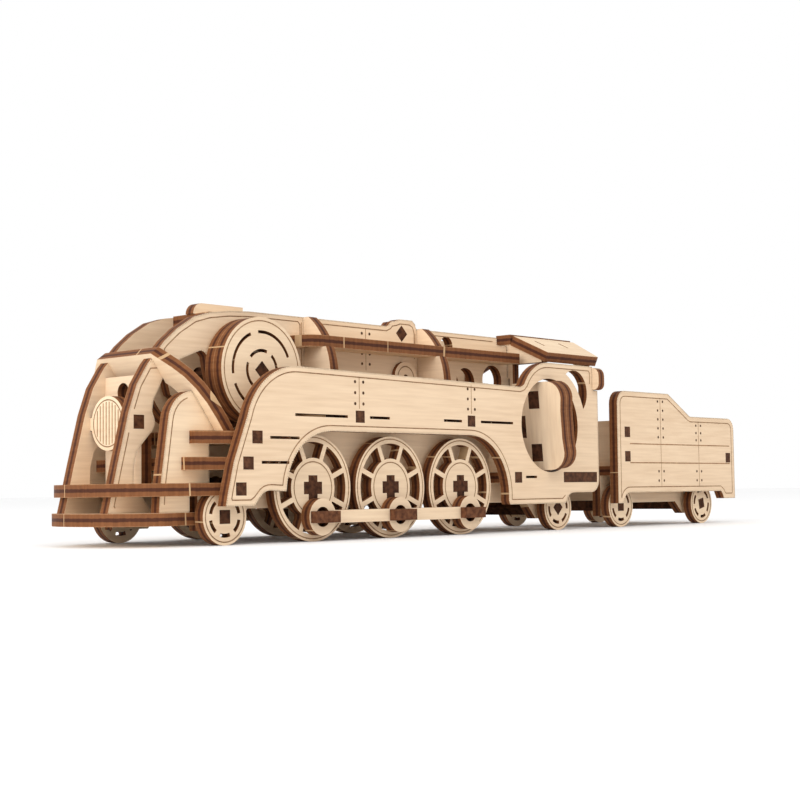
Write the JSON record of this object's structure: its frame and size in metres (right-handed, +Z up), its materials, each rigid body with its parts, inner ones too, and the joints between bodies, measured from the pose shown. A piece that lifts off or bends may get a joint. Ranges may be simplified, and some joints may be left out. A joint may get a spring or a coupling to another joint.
{
  "type": "wooden locomotive puzzle",
  "caption": "Press-together plywood streamlined steam locomotive with linked driving wheels, a winding key and a coupled open tender.",
  "frame": {"origin": "under the middle of the whole model's box, at wheel-tread height", "axes": "+Z up, the engine's nose points along -X, the winding key is on the -Y side"},
  "size_m": [0.2566, 0.0608, 0.0602],
  "materials": {
    "birch_ply": "bare birch plywood, laser-burnt edges",
    "light_birch": "bare birch plywood, paler face",
    "burnt_birch": "laser-burnt plywood strip"
  },
  "bodies": {
    "locomotive": {"side_skirt_left": "birch_ply", "side_skirt_right": "birch_ply", "boiler_side_left": "birch_ply", "boiler_side_right": "birch_ply", "front_fender_left": "light_birch", "front_fender_right": "light_birch", "hood_arch": "light_birch", "nose_bulkhead": "birch_ply", "headlamp": "light_birch", "upper_bumper": "birch_ply", "lower_bumper": "birch_ply", "grille_decks": "birch_ply", "walkway_left": "birch_ply", "walkway_right": "birch_ply", "boiler_bulkhead_front": "birch_ply", "boiler_bulkhead_rear": "birch_ply", "boiler_top_plate": "birch_ply", "boiler_keel": "light_birch", "boiler_side_caps": "birch_ply", "dome_shaft": "burnt_birch", "cab_front_bulkhead": "birch_ply", "cab_rear_bulkhead": "birch_ply", "cab_roof_center": "light_birch", "cab_roof_panels": "light_birch", "frame_left": "birch_ply", "frame_right": "birch_ply", "main_deck": "birch_ply", "cab_floor": "birch_ply", "coupling_pin": "burnt_birch"},
    "driving_front": {"driving_wheels_front": "light_birch", "driving_axle_front": "burnt_birch", "crank_pins_front": "burnt_birch"},
    "driving_middle": {"driving_wheels_middle": "light_birch", "driving_axle_middle": "burnt_birch", "crank_pins_middle": "burnt_birch"},
    "driving_rear": {"driving_wheels_rear": "light_birch", "driving_axle_rear": "burnt_birch", "crank_pins_rear": "burnt_birch"},
    "rod_left": {"side_rod_left": "light_birch"},
    "rod_right": {"side_rod_right": "light_birch"},
    "leading_wheelset": {"leading_wheels": "light_birch", "leading_axle": "burnt_birch"},
    "trailing_wheelset": {"trailing_wheels": "light_birch", "trailing_axle": "burnt_birch"},
    "tender_front_wheelset": {"tender_front_wheels": "light_birch", "tender_front_axle": "burnt_birch"},
    "tender_rear_wheelset": {"tender_rear_wheels": "light_birch", "tender_rear_axle": "burnt_birch"},
    "drum": {"drum_axle": "burnt_birch", "drum_discs": "light_birch"},
    "winding_key": {"key_plates": "light_birch", "key_bars": "burnt_birch", "key_shaft": "burnt_birch"},
    "tender": {"tender_side_left": "birch_ply", "tender_side_right": "birch_ply", "tender_front_plate": "birch_ply", "tender_rear_plate": "birch_ply", "tender_deck": "birch_ply", "drawbar": "birch_ply", "tender_frames": "birch_ply"}
  },
  "joints": [
    {"name": "driving_front_spin", "type": "hinge", "parent": "locomotive", "child": "driving_front", "pos_m": [-0.0718, 0.0021, 0.0133], "axis": [0, 1, 0], "continuous": true},
    {"name": "driving_middle_spin", "type": "hinge", "parent": "locomotive", "child": "driving_middle", "pos_m": [-0.0433, 0.0021, 0.0133], "axis": [0, 1, 0], "continuous": true},
    {"name": "driving_rear_spin", "type": "hinge", "parent": "locomotive", "child": "driving_rear", "pos_m": [-0.0148, 0.0021, 0.0133], "axis": [0, 1, 0], "continuous": true},
    {"name": "rod_left_pivot", "type": "hinge", "parent": "driving_middle", "child": "rod_left", "pos_m": [-0.0433, 0.0021, 0.0061], "axis": [0, 1, 0], "continuous": true},
    {"name": "rod_right_pivot", "type": "hinge", "parent": "driving_middle", "child": "rod_right", "pos_m": [-0.0433, 0.0021, 0.0061], "axis": [0, 1, 0], "continuous": true},
    {"name": "leading_spin", "type": "hinge", "parent": "locomotive", "child": "leading_wheelset", "pos_m": [-0.1001, 0.0021, 0.0067], "axis": [0, 1, 0], "continuous": true},
    {"name": "trailing_spin", "type": "hinge", "parent": "locomotive", "child": "trailing_wheelset", "pos_m": [0.0303, 0.0021, 0.0067], "axis": [0, 1, 0], "continuous": true},
    {"name": "tender_front_spin", "type": "hinge", "parent": "tender", "child": "tender_front_wheelset", "pos_m": [0.0636, 0.0021, 0.0067], "axis": [0, 1, 0], "continuous": true},
    {"name": "tender_rear_spin", "type": "hinge", "parent": "tender", "child": "tender_rear_wheelset", "pos_m": [0.112, 0.0021, 0.0067], "axis": [0, 1, 0], "continuous": true},
    {"name": "drum_spin", "type": "hinge", "parent": "locomotive", "child": "drum", "pos_m": [-0.0838, 0.0021, 0.0425], "axis": [0, 1, 0], "continuous": true},
    {"name": "key_spin", "type": "hinge", "parent": "locomotive", "child": "winding_key", "pos_m": [0.0224, 0.0021, 0.031], "axis": [0, 1, 0], "continuous": true},
    {"name": "tender_swing", "type": "hinge", "parent": "locomotive", "child": "tender", "pos_m": [0.0522, 0.0021, 0.0124], "axis": [0, 0, 1], "range_deg": [-15, 15]}
  ],
  "couplings": [
    {"joint": "driving_front_spin", "follows": "driving_middle_spin", "ratio": 1},
    {"joint": "driving_rear_spin", "follows": "driving_middle_spin", "ratio": 1},
    {"joint": "rod_left_pivot", "follows": "driving_middle_spin", "ratio": -1},
    {"joint": "rod_right_pivot", "follows": "driving_middle_spin", "ratio": -1}
  ]
}
